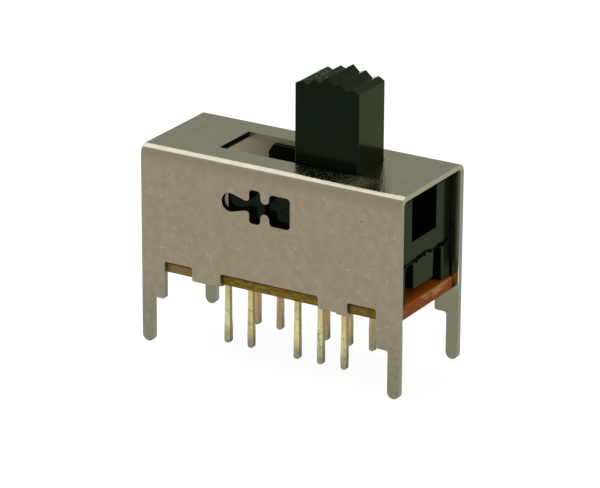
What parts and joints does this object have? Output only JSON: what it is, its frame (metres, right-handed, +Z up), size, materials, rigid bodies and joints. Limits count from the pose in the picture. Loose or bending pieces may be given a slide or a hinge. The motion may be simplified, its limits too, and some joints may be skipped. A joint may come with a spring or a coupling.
{
  "type": "slide switch",
  "caption": "Two-row slide switch for a circuit board: folded steel frame with legs, black knob with serrated crown, laminate base and brass pins.",
  "frame": {"origin": "middle of the footprint on the face of the circuit board, level with the shoulders of the four legs", "axes": "+X along the slider's travel, -Y towards the wall with the detent cut-out, +Z up through the knob"},
  "size_m": [0.022, 0.0092, 0.0223],
  "materials": {
    "frame_steel": "dull nickel plate over cold-rolled sheet, finely mottled",
    "board_laminate": "red-brown phenolic paper laminate, punched edges",
    "terminal_brass": "thin pale plate over brass, satin",
    "slider_plastic": "black moulded, smooth with a soft gloss",
    "clip_bronze": "sprung strip, bright"
  },
  "bodies": {
    "housing": {"frame": "frame_steel", "baseboard": "board_laminate", "front_throw_terminal_1": "terminal_brass", "front_throw_terminal_2": "terminal_brass", "front_throw_terminal_3": "terminal_brass", "front_throw_terminal_4": "terminal_brass", "front_common_terminal": "terminal_brass", "rear_throw_terminal_1": "terminal_brass", "rear_throw_terminal_2": "terminal_brass", "rear_throw_terminal_3": "terminal_brass", "rear_throw_terminal_4": "terminal_brass", "rear_common_terminal": "terminal_brass"},
    "slider": {"slider": "slider_plastic", "front_contact_clip": "clip_bronze", "rear_contact_clip": "clip_bronze"}
  },
  "joints": [
    {"name": "knob_slide", "type": "slide", "parent": "housing", "child": "slider", "axis": [1, 0, 0], "range_m": [-0.0063, 0]}
  ]
}
